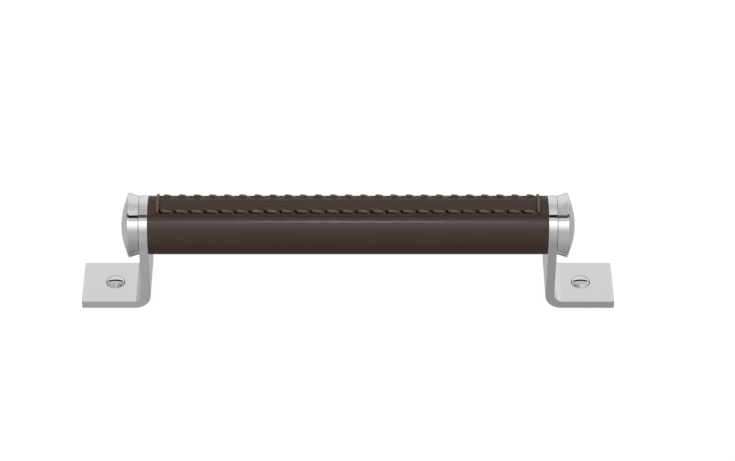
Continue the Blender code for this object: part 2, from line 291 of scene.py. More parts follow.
def make_camera():
    data = bpy.data.cameras.new("camera")
    data.sensor_width = 36.0
    data.lens = FOCAL_PIXELS / PHOTO_WIDTH * data.sensor_width
    data.shift_x = (PHOTO_CENTRE[0] - BAR_CENTRE_PIXEL[0]) / PHOTO_WIDTH
    data.shift_y = (BAR_CENTRE_PIXEL[1] - PHOTO_CENTRE[1]) / PHOTO_WIDTH
    data.clip_start = 0.01
    data.clip_end = 50.0
    camera = add_object("camera", data)
    back = Vector((0, -math.cos(ELEVATION), math.sin(ELEVATION)))
    camera.location = Vector((0, 0, AXIS_HEIGHT)) + back * DISTANCE
    camera.rotation_mode = "QUATERNION"
    camera.rotation_quaternion = (-back).to_track_quat("-Z", "Y")
    bpy.context.scene.camera = camera


make_camera()
print(f"camera {DISTANCE:.3f} m from the bar, lens {bpy.context.scene.camera.data.lens:.1f} mm")

# %% [markdown]
# ## Studio
# Polished metal shows the room and little else. Walls and lamps could be built, but in the
# world's shader each tone is set by its angle alone. The room is a band of light round the bar, a
# colour ramp that starts straight down and goes forward, up, back and down again. In front and
# above hangs a soft box, with a small lamp in its bright upper edge that draws the line of sheen
# on the leather. Then come a narrow dark gap and the pale ceiling and walls. The two ends of the
# room, which show in the domes of the caps, are dimmer. The camera sees plain white.

# %% World
BAND_STOPS = (
    (-90, 0.18), (-74, 0.33), (-58, 0.35), (-41, 0.40), (-20, 0.485),  # floor in front
    (9, 0.50), (17.5, 0.56), (21.5, 0.65), (25.5, 0.77), (33, 0.98),  # soft box
    (41, 1.18), (49, 1.35), (55, 1.35),  # its bright upper edge
    (55.7, 0.70), (61, 0.67), (68.5, 0.70), (69.5, 0.012), (80.5, 0.012),  # above it, gap
    (82, 0.72), (92, 0.735), (100, 0.70), (108, 0.62), (118, 0.565), (130, 0.62),  # ceiling
    (139, 0.77), (155, 0.80), (184, 0.82), (200, 0.62),  # wall behind
    (222, 0.46), (245, 0.34), (269, 0.18),  # floor behind
)
LEFT_SHADE_STOPS = ((-90, 1.0), (66, 1.0), (82, 0.69), (100, 0.69), (118, 1.0), (269, 1.0))
RIGHT_SHADE_STOPS = ((-90, 0.83), (-20, 0.83), (8, 1.0), (269, 1.0))
GAP_LIGHT_LEFT = 0.085
LEFT_SIDE_LEVEL = 0.50
RIGHT_SIDE_LEVEL = 0.44
CORNER_LEVEL = 0.32
GLINT_LEVEL = 22.0
# Each pair says where a part of the room begins and where it is reached in full.
GLINT_SIDE = (0.022, 0.010)
GLINT_BOTTOM = (52.0, 52.8)
GLINT_TOP = (55.7, 55.0)
LEFT_HALF = (0.02, -0.06)
RIGHT_HALF = (-0.02, 0.04)
LEFT_WALL = (-0.38, -0.52)
BEHIND = (0.1, 0.4)
LEFT_TO_RIGHT = (-0.2, 0.2)
DOWN_TO_UP = (-0.1, 0.1)
ROOM_ENDS = (0.73, 0.80)


def round_bar(degrees):
    """Place on the ramp, 0 to 1, of an angle round the bar that starts straight down."""
    return (degrees + 90) / 360


def band(recipe, place, stops):
    placed = [(round_bar(degrees), level) for degrees, level in stops]
    return recipe.node("ShaderNodeValToRGB", {"stops": placed}, {0: place})


def make_world():
    world = bpy.data.worlds.new("studio")
    bpy.context.scene.world = world
    recipe = Recipe(world)
    x, y, z = recipe.split(recipe.node("ShaderNodeTexCoord"))
    turn = z.math("ARCTAN2", y * -1) / (2 * math.pi) + 0.25
    place = turn.math("FRACT")
    level = band(recipe, place, BAND_STOPS)
    shaded = recipe.vector("MULTIPLY", level, band(recipe, place, LEFT_SHADE_STOPS))
    shaded = recipe.vector("MAXIMUM", shaded, grey(GAP_LIGHT_LEFT)[:3])
    level = recipe.mix(recipe.between(x, *LEFT_HALF), level, shaded)
    shaded = recipe.vector("MULTIPLY", level, band(recipe, place, RIGHT_SHADE_STOPS))
    level = recipe.mix(recipe.between(x, *RIGHT_HALF), level, shaded)
    out = x.math("ABSOLUTE")
    glint = recipe.between(out, *GLINT_SIDE) * GLINT_LEVEL
    for low, high in (GLINT_BOTTOM, GLINT_TOP):
        glint = glint * recipe.between(place, round_bar(low), round_bar(high))
    level = recipe.vector("ADD", level, glint)
    side = recipe.between(x, *LEFT_TO_RIGHT)
    side = recipe.mix(side, grey(LEFT_SIDE_LEVEL), grey(RIGHT_SIDE_LEVEL))
    level = recipe.mix(recipe.between(x, *LEFT_WALL) * recipe.between(y, *BEHIND), level, side)
    end = recipe.mix(recipe.between(z, *DOWN_TO_UP), side, grey(CORNER_LEVEL))
    level = recipe.mix(recipe.between(out, *ROOM_ENDS), level, end)
    room = recipe.node("ShaderNodeBackground", None, {0: level})
    white = recipe.node("ShaderNodeBackground", None, {0: grey(1.0)})
    seen = recipe.node("ShaderNodeLightPath")
    shown = recipe.node("ShaderNodeMixShader", None, {0: seen, 1: room, 2: white})
    recipe.node("ShaderNodeOutputWorld", None, {0: shown})


make_world()

# %% [markdown]
# The floor is the surface that the handle is screwed to. It is a pale matt plane. For the camera
# its own brightness is raised until it joins the white background, and a small share of it is
# still lit by the room, so that it keeps a soft trace of the handle's shadow. Reflections look
# past it into the room, whose lower half has the floor's tones.

# %% Floor
FLOOR_SIZE = 6.0
FLOOR_GREY = 0.55
FLOOR_GLOW = 0.90
FLOOR_LIT = 0.24


def make_floor():
    half = FLOOR_SIZE / 2
    mesh = bpy.data.meshes.new("floor")
    corners = [(-half, -half, 0), (half, -half, 0), (half, half, 0), (-half, half, 0)]
    mesh.from_pydata(corners, [], [(0, 1, 2, 3)])
    floor = add_object("floor", mesh)
    floor.visible_glossy = False
    material = bpy.data.materials.new("pale_floor")
    recipe = Recipe(material)
    matt = recipe.node("ShaderNodeBsdfDiffuse", None, {0: grey(FLOOR_GREY)})
    lit = recipe.node("ShaderNodeBsdfDiffuse", None, {0: grey(FLOOR_LIT)})
    glow = recipe.node("ShaderNodeEmission", None, {0: grey(FLOOR_GLOW)})
    pale = recipe.node("ShaderNodeAddShader", None, {0: lit, 1: glow})
    seen = recipe.node("ShaderNodeLightPath")
    shown = recipe.node("ShaderNodeMixShader", None, {0: seen, 1: matt, 2: pale})
    recipe.node("ShaderNodeOutputMaterial", None, {0: shown})
    mesh.materials.append(material)


make_floor()

# %% [markdown]
# ## Finishes
# Each finish is one function that returns a material. Its patterns are noise on the object's own
# coordinates and not images, so they have real sizes and no seams. What changes over the surface
# reaches only the colour, the roughness, the coat and the bump; numbers that are the same
# everywhere are set straight on the shader.

# %% Shared parts of a finish
def new_material(name):
    material = bpy.data.materials.new(name)
    recipe = Recipe(material)
    place = recipe.node("ShaderNodeTexCoord", None, None, 3)
    return material, recipe, place


def noise(recipe, place, size, detail=3.0, stretch=(1, 1, 1)):
    """Cloudy pattern from 0 to 1 whose blotches are about size across, in metres."""
    wide = recipe.node("ShaderNodeMapping", None, {"Vector": place, "Scale": stretch})
    sockets = {"Vector": wide, "Scale": 1 / size, "Detail": detail}
    return recipe.node("ShaderNodeTexNoise", None, sockets)


def bump(recipe, height, distance, strength=1.0):
    """Turns a height from 0 to 1 into a bent normal; distance is the height of 1, in metres."""
    sockets = {"Height": height, "Distance": distance, "Strength": strength}
    return recipe.node("ShaderNodeBump", None, sockets)


def finish_with(recipe, **sockets):
    """The Principled shader and the output, with sockets given as Base_Color=..."""
    named = {key.replace("_", " "): value for key, value in sockets.items()}
    shader = recipe.node("ShaderNodeBsdfPrincipled", None, named)
    recipe.node("ShaderNodeOutputMaterial", None, {0: shader})


# %% [markdown]
# ### Leather
# Smooth dark brown hide: a faint cloudiness in the dye, very fine creases between the pores, and
# a thin coat of wax. The creases come from a Voronoi pattern, whose distance to the nearest cell
# edge is small in the creases and large on the pads between them. In the stitch holes and under
# each stitch, where the thread shades the leather, the sleeve stores a value called dent, which
# paints that shade into the colour; along the seam it also holds a thin dark joint line.
# The wax shines where the eye meets the leather squarely, so it fades towards the bar's outline.

# %% Leather finish
LEATHER_DARK = linear(60, 37, 30)
LEATHER_LIGHT = linear(77, 52, 44)
# Painted shade: the colour of the shade in the stitch holes and under the stitches, also used for
# the thin dark seam line.
LEATHER_SHADE_AND_SEAM = linear(20, 6, 3)
LEATHER_CLOUD = 9 * MM
LEATHER_GRAIN = 0.5 * MM
LEATHER_CELL = 0.55 * MM
CREASE_DEPTH = 0.008 * MM
CREASE_SHARE = 0.18
LEATHER_POLISH = 0.7
POLISHED_SLOPE = (0.45, 0.05)


def leather_finish():
    material, recipe, place = new_material("brown_leather")
    cloud = noise(recipe, place, LEATHER_CLOUD, 4.0)
    fine = noise(recipe, place, LEATHER_GRAIN, 4.0)
    cells = {"Vector": place, "Scale": 1 / LEATHER_CELL, "Randomness": 1.0}
    pads = recipe.node("ShaderNodeTexVoronoi", {"feature": "DISTANCE_TO_EDGE"}, cells)
    crease = recipe.between(pads, 0.0, CREASE_SHARE)
    color = recipe.mix(cloud * 0.6 + fine * 0.3 + crease * 0.1, LEATHER_DARK, LEATHER_LIGHT)
    # dent: painted shade in the stitch holes and under each stitch, plus the dark seam line.
    dent = recipe.value_of("dent")
    height = crease * 0.6 + fine * 0.4
    slope = recipe.node("ShaderNodeLayerWeight", None, {"Blend": 0.5}, 1)
    polish = recipe.between(slope, *POLISHED_SLOPE) * (1 - dent)
    finish_with(
        recipe,
        # Painted shade: dent mixes the shade colour into the base colour.
        Base_Color=recipe.mix(dent, color, LEATHER_SHADE_AND_SEAM),
        Roughness=0.40 + cloud * 0.10 - crease * 0.04 + dent * 0.35,
        Normal=bump(recipe, height, CREASE_DEPTH),
        Specular_IOR_Level=0.31,
        Coat_Weight=polish * LEATHER_POLISH,
        Coat_Roughness=0.15,
    )
    return material


# %% [markdown]
# ### Thread
# Waxed thread, laid from three strands. The strands are modelled, so the finish adds the fibres,
# and painted shade where the thread sinks into a hole. The fibres run along each strand, so the
# pattern is stretched along the thread's own UV map.

# %% Thread finish
THREAD_DARK = linear(95, 79, 67)
THREAD_LIGHT = linear(144, 125, 109)
# Painted shade: the thread's colour where it sinks into a hole.
THREAD_HOLE_SHADE = linear(30, 17, 11)
FIBRE_STRETCH = (0.8, 3.0, 1.0)
FIBRE_DEPTH = 0.03 * MM


def thread_finish():
    material, recipe, place = new_material("twisted_thread")
    along = recipe.node("ShaderNodeTexCoord", None, None, 2)
    fibres = noise(recipe, along, 0.05, 3.0, FIBRE_STRETCH)
    cloud = noise(recipe, place, 2.5 * MM, 2.0)
    share = fibres * 0.65 + cloud * 0.35
    color = recipe.mix(recipe.between(share, 0.3, 0.7), THREAD_DARK, THREAD_LIGHT)
    finish_with(
        recipe,
        # Painted shade on the thread inside the holes.
        Base_Color=recipe.mix(recipe.value_of("buried"), color, THREAD_HOLE_SHADE),
        Roughness=0.52 + fibres * 0.15,
        Normal=bump(recipe, fibres, FIBRE_DEPTH, 0.8),
        Specular_IOR_Level=0.4,
    )
    return material


# %% [markdown]
# ### Metals
# Polished chrome is almost a mirror. A little cloudiness in its roughness and a shallow ripple,
# far too low to see by itself, keep its reflections from looking drawn with a ruler. In the slot
# of a screw, where little light gets in, the shade is painted in as a dark colour that takes the
# mirror away. The bar and the studs inside are plain turned steel, with fine rings across their
# length.

# %% Metal finishes
CHROME_TINT = (0.85, 0.85, 0.86, 1.0)
CHROME_CLOUD_TINT = (0.83, 0.83, 0.84, 1.0)
CHROME_RIPPLE = 0.002 * MM
STEEL_DARK = (0.42, 0.42, 0.43, 1.0)
STEEL_LIGHT = (0.60, 0.60, 0.61, 1.0)
STEEL_RING = 0.3 * MM
ACROSS_THE_BAR = (1.0, 0.02, 0.02)
# Painted shade: the colour of the inside of a screw slot.
SLOT_SHADE = grey(0.05)
HEAD_DOME = 0.8 * MM
SLOT_WIDTH = 0.7 * MM
SLOT_DEPTH = 1.0 * MM
SLOT_DARK_HALF = 2.1 * MM
SLOT_FADE = 0.4 * MM
# Share of the painted slot shade that is left at the slot's ends.
SLOT_END_SHADE = 0.2


def slot_shade(recipe, place):
    """Painted shade: 1 inside a screw's slot, which is told by the distances from its middle and
    its floor.
    """
    x, y, z = recipe.split(place)
    floor = STRIP_THICKNESS + HEAD_DOME - SLOT_DEPTH
    near = recipe.between(y.math("ABSOLUTE"), SLOT_WIDTH / 2 + 0.04 * MM, SLOT_WIDTH / 2)
    end = (x.math("ABSOLUTE") - SCREW_X).math("ABSOLUTE")
    near = near * recipe.between(end, SLOT_DARK_HALF + SLOT_FADE, SLOT_DARK_HALF, SLOT_END_SHADE)
    return near * recipe.between(z, floor - 0.05 * MM, floor - 0.01 * MM)


def chrome_finish(name, roughness, painted_shade=None):
    """Chrome, and where the optional mask gives 1 instead of 0, painted shade on it."""
    material, recipe, place = new_material(name)
    cloud = noise(recipe, place, 7 * MM, 3.0)
    ripple = noise(recipe, place, 3 * MM, 1.0)
    color = recipe.mix(cloud, CHROME_TINT, CHROME_CLOUD_TINT)
    if painted_shade is not None:
        # Painted shade in the screw slot.
        color = recipe.mix(painted_shade(recipe, place), color, SLOT_SHADE)
    finish_with(
        recipe,
        Base_Color=color,
        Metallic=1.0,
        Roughness=roughness + cloud * 0.03,
        Normal=bump(recipe, ripple, CHROME_RIPPLE),
    )
    return material


def steel_finish():
    material, recipe, place = new_material("turned_steel")
    rings = noise(recipe, place, STEEL_RING, 3.0, ACROSS_THE_BAR)
    finish_with(
        recipe,
        Base_Color=recipe.mix(rings, STEEL_DARK, STEEL_LIGHT),
        Metallic=1.0,
        Roughness=0.30 + rings * 0.15,
        Normal=bump(recipe, rings, 0.01 * MM),
    )
    return material


LEATHER = leather_finish()
THREAD = thread_finish()
CHROME = chrome_finish("polished_chrome", 0.035)
SCREW_CHROME = chrome_finish("screw_chrome", 0.06, slot_shade)
STEEL = steel_finish()
print("finishes:", ", ".join(made.name for made in (LEATHER, THREAD, CHROME, SCREW_CHROME, STEEL)))


def hand_over(obj, node, material):
    """Gives the piece its finish and its place on the body, and hides the frame node that it stands
    for.
    """
    obj.data.materials.clear()
    obj.data.materials.append(material)
    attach(obj, "root")
    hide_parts(node)


for hidden in ("core_rod", "left_stud", "right_stud"):
    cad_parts[hidden].data.materials.clear()
    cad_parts[hidden].data.materials.append(STEEL)

# %% [markdown]
# ## Brackets
# The strip is a flat plate with a full round end, bent once. Its edges are rolled over by a small
# radius, so its surface is that of a thinner, narrower plate with a small ball rolled over it:
# each point is a point of the core plate plus the ball's radius along the normal. A ring of
# points runs round the strip's section, and the rings follow the foot, the bend, the leg and the
# round top. A bent plate with a Bevel modifier comes close, but chrome shows every uneven face.

# %% Section of the strip
EDGE_STEPS = 4
SIDE_STEP = 0.08 * MM
FLAT_SHARES = np.array([-0.985, -0.9, -0.6, -0.3, 0.0, 0.3, 0.6, 0.9, 0.985])


def strip_section():
    """Half rings under and over the strip: share across, sideways, through and core height."""
    flat = np.full(len(FLAT_SHARES), 1.5 * np.pi)
    left = np.linspace(np.pi, 1.5 * np.pi, EDGE_STEPS + 1)
    angle = np.concatenate([[np.pi], left, flat, left + np.pi / 2, [2 * np.pi]])
    side = np.ones(EDGE_STEPS + 2)
    share = np.concatenate([-side, FLAT_SHARES, side])
    sideways, through = np.cos(angle), np.sin(angle)
    core = np.full(len(share), STRIP_EDGE)
    core[[0, -1]] += SIDE_STEP
    return (
        np.concatenate([share, share[::-1]]),
        np.concatenate([sideways, sideways[::-1]]),
        np.concatenate([through, -through[::-1]]),
        np.concatenate([core, STRIP_THICKNESS - core]),
    )


# %% [markdown]
# The stations are the places of the rings. A station has a point on the face that lies against
# the door and the bar, the direction through the strip, half the core's width, and two factors:
# `edge` shrinks the rolled edge where the foot ends square, and `lift` turns it along the leg where
# the top is round. Inside the bend the metal is a little thicker, so that arc has its own radius.

# %% Stations along the strip
FILLET_RADIUS = 3.1 * MM
FOOT_STEPS = 9
BEND_STEPS = 18
LEG_STEPS = 8
TOP_STEPS = 28


def strip_stations():
    """Columns: x, z, thickness direction x and z, core half width, edge factor, lift factor."""
    radius = STRIP_WIDTH / 2
    core = radius - STRIP_EDGE
    centre_x = OUTER_FACE + BEND_INNER_RADIUS
    centre_z = STRIP_THICKNESS + BEND_INNER_RADIUS

    shift = FILLET_RADIUS - BEND_INNER_RADIUS
    roll = np.linspace(np.pi / 2, 0, EDGE_STEPS + 1)
    end_x = FOOT_END - STRIP_EDGE + STRIP_EDGE * np.sin(roll)
    foot_x = np.linspace(FOOT_END - STRIP_EDGE, centre_x, FOOT_STEPS)[1:-1]
    bend = np.linspace(0, np.pi / 2, BEND_STEPS)
    under = np.stack([centre_x - centre_z * np.sin(bend), centre_z - centre_z * np.cos(bend)])
    over_x = centre_x + shift - FILLET_RADIUS * np.sin(bend)
    over_z = centre_z + shift - FILLET_RADIUS * np.cos(bend)
    through_x, through_z = (np.stack([over_x, over_z]) - under) / STRIP_THICKNESS
    leg_z = np.linspace(centre_z, AXIS_HEIGHT, LEG_STEPS)[1:-1]
    top = np.linspace(0, np.pi / 2, TOP_STEPS)
    cos, sin = np.cos(top), np.sin(top)

    def stations(x, z, dir_x, dir_z, half, edge, lift):
        return np.stack(np.broadcast_arrays(x, z, dir_x, dir_z, half, edge, lift), axis=1)

    return np.concatenate([
        stations(end_x, 0, 0, 1, core, np.cos(roll), 0),
        stations(foot_x, 0, 0, 1, core, 1, 0),
        stations(*under, through_x, through_z, core, 1, 0),
        stations(INNER_FACE, leg_z, 1, 0, core, 1, 0),
        stations(INNER_FACE, AXIS_HEIGHT + core * sin, 1, 0, core * cos, cos, sin),
    ])


def bracket_points(side):
    """Core point plus the rolled edge's radius along the normal, mirrored for the left side."""
    share, sideways, through, core = strip_section()
    x, z, dir_x, dir_z, half, edge, lift = (column[:, None] for column in strip_stations().T)
    squeeze = np.where(lift > 0, 1.0, edge)
    depth = core + STRIP_EDGE * through * squeeze
    y = share * half + STRIP_EDGE * sideways * edge
    rise = STRIP_EDGE * np.abs(sideways) * lift
    points = np.stack([side * (x + dir_x * depth), y, z + dir_z * depth + rise], axis=2)
    return np.concatenate([points, points[:, :1]], axis=1)


# %% [markdown]
# ### Turned shapes
# Caps, screws and the tools that drill the holes are all turned: a profile of radius and height
# that starts and ends on the axis, carried round in a circle, as the Screw modifier would do. As
# an array, the profile keeps each of its radii as a named size.

# %% Turned shapes
TURN_STEPS = 96


def arc(centre, radius, start, end, steps):
    """Points (radius, height) on a circle from one angle to another, in degrees."""
    angle = np.radians(np.linspace(start, end, steps + 1))
    return np.array(centre) + radius * np.stack([np.cos(angle), np.sin(angle)], axis=1)


def turned(profile, steps=TURN_STEPS):
    """Profile points carried round Z: a grid of (profile, angle, xyz)."""
    angle = np.linspace(0, 2 * np.pi, steps + 1)
    angle[-1] = 0
    radius, height = profile[:, :1], profile[:, 1:]
    flat = np.broadcast_to(height, (len(profile), steps + 1))
    return np.stack([radius * np.cos(angle), radius * np.sin(angle), flat], axis=2)


def laid_along_x(points, side, x):
    """Turns a shape whose axis is Z onto the bar's axis, its top facing outwards."""
    up, y, out = np.moveaxis(points, -1, 0)
    return np.stack([side * (x + out), y, AXIS_HEIGHT + up], axis=-1)


def turned_piece(name, points, sharp=40):
    return make_piece(name, points, grid_faces(points), sharp=sharp)


# %% [markdown]
# The bracket is then drilled twice: a plain hole for the stud in the leg, and a countersunk hole
# in the foot, whose mouth leaves a thin dark ring round the screw's head.

# %% Make the brackets
STUD_HOLE_RADIUS = 3.3 * MM
STUD_HOLE_STEPS = 48
SINK_RADIUS = 3.26 * MM
SCREW_HOLE_RADIUS = 2.05 * MM
SINK_EDGE = 0.15 * MM


def stud_drill(side):
    low, high = -MM, STRIP_THICKNESS + MM
    profile = np.array([(0, low), (STUD_HOLE_RADIUS, low), (STUD_HOLE_RADIUS, high), (0, high)])
    points = turned(profile, STUD_HOLE_STEPS)
    return turned_piece("stud_drill", laid_along_x(points, side, INNER_FACE))


def countersink(side):
    slope = SINK_RADIUS - SCREW_HOLE_RADIUS
    profile = np.array([
        (0, MM),
        (SINK_RADIUS, MM),
        (SINK_RADIUS, -SINK_EDGE),
        (SCREW_HOLE_RADIUS, -SINK_EDGE - slope),
        (SCREW_HOLE_RADIUS, -STRIP_THICKNESS - MM),
        (0, -STRIP_THICKNESS - MM),
    ])
    points = turned(profile) + np.array([side * SCREW_X, 0, STRIP_THICKNESS])
    return turned_piece("countersink", points)


def make_bracket(side, word):
    points = bracket_points(side)
    half = points.shape[1] // 2
    faces = np.concatenate([grid_faces(points), end_faces(0, half, half)[:, ::-1]])
    bracket = make_piece(f"{word}_bracket_polished", points, faces)
    carve(bracket, stud_drill(side), countersink(side))
    hand_over(bracket, f"{word}_bracket", CHROME)


for side, word in SIDES:
    make_bracket(side, word)

# %% [markdown]
# ## End caps
# Each cap is turned from bar. Its neck is as wide as the bracket's round top, its side flares in a
# slight hollow to the rim, and its face is a shallow dome inside a narrow lip. The corners are
# broken with small radii, because a real edge always catches a thin line of light.

# %% Make the caps
CAP_GAP = 0.10 * MM
NECK_RADIUS = STRIP_WIDTH / 2 - 0.08 * MM
RIM_RADIUS = (CAP_HIGH.z - CAP_LOW.z) / 2
CAP_HEIGHT = CAP_HIGH.x - OUTER_FACE - CAP_GAP
DOME_HEIGHT = 1.95 * MM
FLARE_TOP = 3.2 * MM
FLARE_HOLLOW = 0.08 * MM
NECK_ROUNDING = 0.12 * MM
RIM_ROUNDING = 0.58 * MM
LIP_WIDTH = 1.0 * MM
LIP_RISE = 0.25 * MM
TAP_RADIUS = 3.3 * MM
TAP_DEPTH = 3.75 * MM
FACE_RING = 0.7 * NECK_RADIUS
FLARE_POINTS = 13
DOME_STEPS = 24
CAP_TURN_STEPS = 128


def cap_profile():
    """(radius, height): tapped hole, neck, hollow flare, rounded rim, lip and dome."""
    rim_height = CAP_HEIGHT - DOME_HEIGHT - LIP_RISE
    share = np.linspace(0, 1, FLARE_POINTS)[:, None]
    start = np.array([NECK_RADIUS, NECK_ROUNDING])
    end = np.array([RIM_RADIUS, FLARE_TOP])
    hollow = np.array([-FLARE_HOLLOW, 0]) * 4 * share * (1 - share)
    flare = start + (end - start) * share + hollow
    dome_radius = RIM_RADIUS - RIM_ROUNDING - LIP_WIDTH
    ball = (dome_radius**2 + DOME_HEIGHT**2) / (2 * DOME_HEIGHT)
    opening = math.degrees(math.asin(dome_radius / ball))
    dome = arc((0, CAP_HEIGHT - ball), ball, 90 - opening, 90, DOME_STEPS)
    dome[-1] = (0, CAP_HEIGHT)
    neck_centre = (NECK_RADIUS - NECK_ROUNDING, NECK_ROUNDING)
    rim_centre = (RIM_RADIUS - RIM_ROUNDING, rim_height - RIM_ROUNDING)
    hole = np.array([(0, TAP_DEPTH), (TAP_RADIUS, TAP_DEPTH), (TAP_RADIUS, 0), (FACE_RING, 0)])
    return np.concatenate([
        hole,
        arc(neck_centre, NECK_ROUNDING, -90, 0, 4)[:-1],
        flare,
        arc(rim_centre, RIM_ROUNDING, 0, 90, 8),
        dome,
    ])


def make_cap(side, word):
    points = laid_along_x(turned(cap_profile(), CAP_TURN_STEPS), side, OUTER_FACE + CAP_GAP)
    cap = turned_piece(f"{word}_end_cap_polished", points, sharp=35)
    hand_over(cap, f"{word}_end_cap", CHROME)


for side, word in SIDES:
    make_cap(side, word)

# %% [markdown]
# ## Foot screws
# A slotted wood screw with a raised countersunk head. Head and shank are one turned grid. The
# thread is a ridge that climbs once per pitch as the angle goes round, so the radius depends on
# the height plus the angle's share of a turn. A ridge swept along a helix would be a body of its
# own; this way the screw is one closed mesh. The slot is milled out at the end.

# %% Make the foot screws
HEAD_RADIUS = 3.02 * MM
HEAD_EDGE = 0.12 * MM
SHANK_RADIUS = 1.75 * MM
THREAD_ROOT = 1.2 * MM
THREAD_PITCH = 1.5 * MM
THREAD_START = -5.5 * MM
SCREW_LENGTH = STRIP_THICKNESS - SCREW_LOW.z
SCREW_TIP = 3.0 * MM
SHANK_TOP = -2.2 * MM
SHANK_ROWS = 150
RIDGE_SHARPNESS = 2.6
HEAD_STEPS = 12
SCREW_TURN_STEPS = 64


def screw_grid():
    """Head profile, then a shank whose radius carries the thread, down to the point."""
    ball = (HEAD_RADIUS**2 + HEAD_DOME**2) / (2 * HEAD_DOME)
    opening = math.degrees(math.asin(HEAD_RADIUS / ball))
    dome = arc((0, HEAD_DOME - ball), ball, 90, 90 - opening, HEAD_STEPS)
    dome[0] = (0, HEAD_DOME)
    under = np.array([
        (HEAD_RADIUS, -HEAD_EDGE),
        (SHANK_RADIUS, -HEAD_EDGE - HEAD_RADIUS + SHANK_RADIUS),
    ])
    head = turned(np.concatenate([dome, under]), SCREW_TURN_STEPS)
    height = np.linspace(SHANK_TOP, -SCREW_LENGTH, SHANK_ROWS)[:, None]
    angle = np.linspace(0, 2 * np.pi, SCREW_TURN_STEPS + 1)[None, :]
    turn = (height / THREAD_PITCH + angle / (2 * np.pi)) % 1
    ridge = np.clip(1 - np.abs(2 * turn - 1) * RIDGE_SHARPNESS, 0, 1)
    taper = np.clip((height + SCREW_LENGTH) / SCREW_TIP, 0, 1)
    fade = np.clip((THREAD_START - height) / MM, 0, 1)
    root = SHANK_RADIUS + (THREAD_ROOT - SHANK_RADIUS) * fade
    radius = (root + (SHANK_RADIUS - root) * ridge) * taper
    wrapped = np.where(angle == angle[0, -1], 0, angle)
    flat = np.broadcast_to(height, radius.shape)
    shank = np.stack([radius * np.cos(wrapped), radius * np.sin(wrapped), flat], axis=2)
    return np.concatenate([head, shank])


def slot_cutter(place):
    """Long flat bar as wide as the slot, lying along X."""
    x, y = np.array([(-1, -1), (-1, 1), (1, 1), (1, -1), (-1, -1)]).T
    low, high = HEAD_DOME - SLOT_DEPTH, HEAD_DOME + MM
    shrink, level = np.array([(0, low), (1, low), (1, high), (0, high)]).T[..., None]
    corners = (2 * HEAD_RADIUS * x * shrink, SLOT_WIDTH / 2 * y * shrink, level)
    points = np.stack(np.broadcast_arrays(*corners), axis=2)
    return turned_piece("slot_cutter", points + place)


def make_foot_screw(side, word):
    place = np.array([side * SCREW_X, 0, STRIP_THICKNESS])
    screw = turned_piece(f"{word}_foot_screw_cut", screw_grid() + place, sharp=30)
    carve(screw, slot_cutter(place))
    hand_over(screw, f"{word}_foot_screw", SCREW_CHROME)


for side, word in SIDES:
    make_foot_screw(side, word)

# %% [markdown]
# ## Leather sleeve
# The real sleeve is a strip of hide, punched along both edges, rolled round the bar and sewn up.
# Here it is worked out flat too, and then rolled. On the flat leather, x runs along the bar and
# `across` is the distance from the seam, rearward positive. A height above the plain leather is
# added there: the slanted pits of the stitch holes, the lips that the needle raised behind them,
# the groove under each tight stitch and the shallow trough of the butt seam. Rolling turns
# `across` into an angle and the height into a radius. A displacement map could hold this relief,
# but as geometry it also shows at the outline. The rear row was punched by itself, so it has its
# own shift, and its holes lie a little further apart.

# %% Flat leather and how it is rolled up
SEAM_ANGLE = math.radians(92)
ROW_OFFSET = 4.2 * MM
ROW_MARGIN = 3.85 * MM
ROW_END = INNER_FACE - ROW_MARGIN
STITCH_COUNT = 25
PITCH = 2 * ROW_END / STITCH_COUNT
print(f"stitches: {STITCH_COUNT} a row, {PITCH / MM:.2f} mm apart")


def rolled(x, across, height):
    """Point at x on the bar, across / radius round from the seam, at radius + height."""
    angle = SEAM_ANGLE + across / GRIP_RADIUS
    radius = GRIP_RADIUS + height
    y = -radius * np.cos(angle)
    z = AXIS_HEIGHT + radius * np.sin(angle)
    return np.stack(np.broadcast_arrays(x, y, z), axis=-1)


ROW_SHIFT = {-1: 0.0, 1: 0.34 * MM}
ROW_SPREAD = {-1: 1.0, 1: 1.0047}
HOLE_PLACE = (0.36 * MM, -0.02 * MM)
PIT_DEPTH = 1.3 * MM
PIT_LENGTH = 0.66 * MM
PIT_WIDTH = 0.38 * MM
PIT_SHADE = 1.4
GROOVE_DEPTH = 0.18 * MM
GROOVE_WIDTH = 0.62 * MM
GROOVE_START = (0.08, 0.22)
GROOVE_STOP = (0.92, 0.76)
LIP_HEIGHT = 0.22 * MM
LIP_SIZE = (0.60 * MM, 0.30 * MM)
LIP_PLACE = (0.75 * MM, 0.95 * MM)
LIP_LIMITS = (0.9 * MM, 0.3 * MM)
CROSS_SHIFT = 0.5 * MM
CROSS_REACH = 4.35 * MM
CROSS_PIT = 0.42 * MM
CROSS_GROOVE = 0.05 * MM
# Painted shade along the cross stitch's groove, as a share of the full shade.
CROSS_GROOVE_SHADE = 0.1
CROSS_FADE = 0.8 * MM
# Pressed width of the cross groove and of the painted shade under each stitch; then where along the
# stitch that painted shade swells, and by how much.
PRESSED_WIDTH = 0.72 * MM
STITCH_SHADE_PLACE = (0.57, 0.2)
STITCH_SHADE_ENDS = 0.6
STITCH_SHADE_SWELL = 0.56
SEAM_DEPTH = 0.06 * MM
SEAM_SPREAD = 0.36 * MM
SEAM_LINE = 0.14 * MM
SEAM_DARK = 0.35
END_ROUNDING = 0.22 * MM
LEATHER_END = INNER_FACE - 0.02 * MM


def ramp(value, low, high):
    """Smooth step of an array from 0 at low to 1 at high."""
    share = np.clip((value - low) / (high - low), 0, 1)
    return share * share * (3 - 2 * share)


